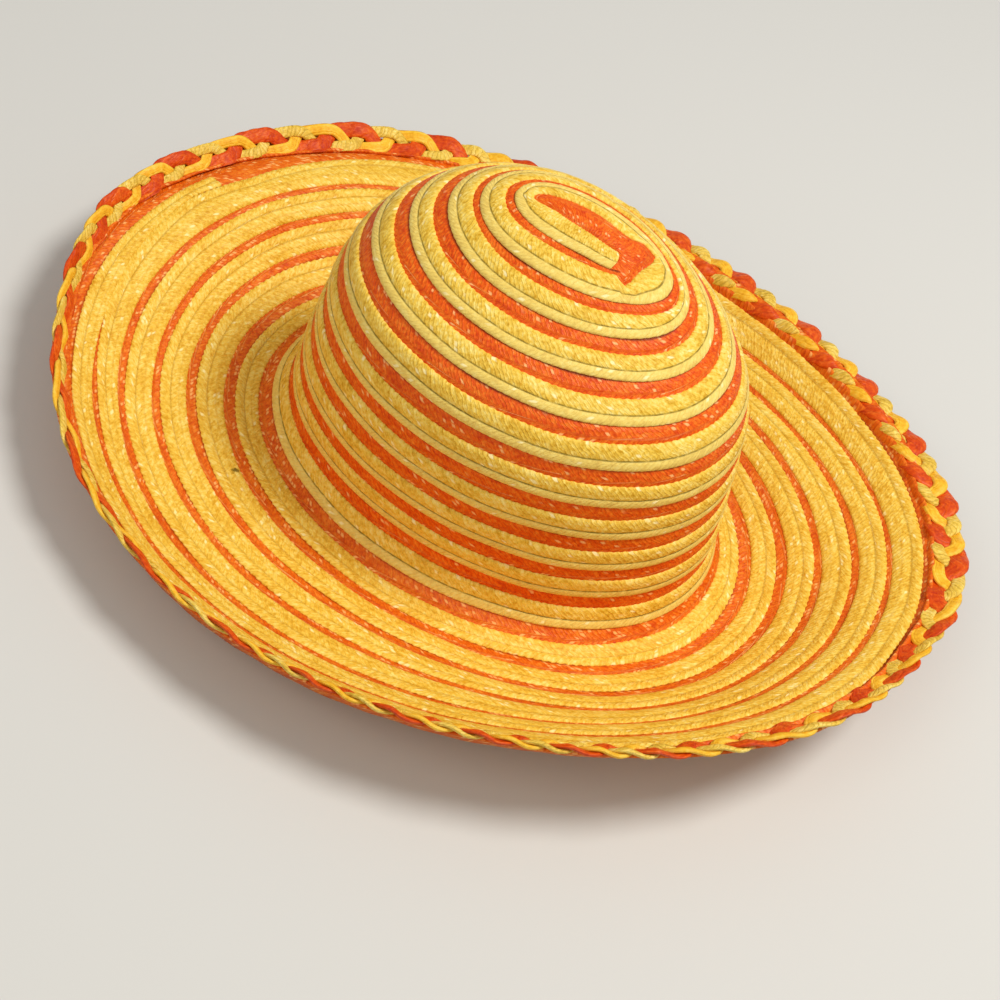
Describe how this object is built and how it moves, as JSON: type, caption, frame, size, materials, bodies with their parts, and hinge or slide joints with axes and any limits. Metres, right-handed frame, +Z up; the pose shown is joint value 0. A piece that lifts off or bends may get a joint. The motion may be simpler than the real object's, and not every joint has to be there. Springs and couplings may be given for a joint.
{
  "type": "straw sun hat",
  "caption": "Wide-brimmed summer hat sewn from spiral yellow and orange braid, with an oval rounded crown, a turned-up wavy brim and a three-strand plait around its edge.",
  "frame": {"origin": "centre of the hat's outline seen from above, on the floor that it rests on", "axes": "+Z up through the crown, +Y towards the back of the hat along its longer axis, +X towards the wearer's left"},
  "size_m": [0.3618, 0.4046, 0.1425],
  "materials": {
    "crown_straw": "sewn straw braid with a soft sheen",
    "brim_straw": "sewn straw braid with a soft sheen",
    "plait_straw": "plaited straw strands with a soft sheen"
  },
  "bodies": {
    "root": {"crown": "crown_straw", "brim": "brim_straw", "edge_plait": "plait_straw"}
  },
  "joints": []
}
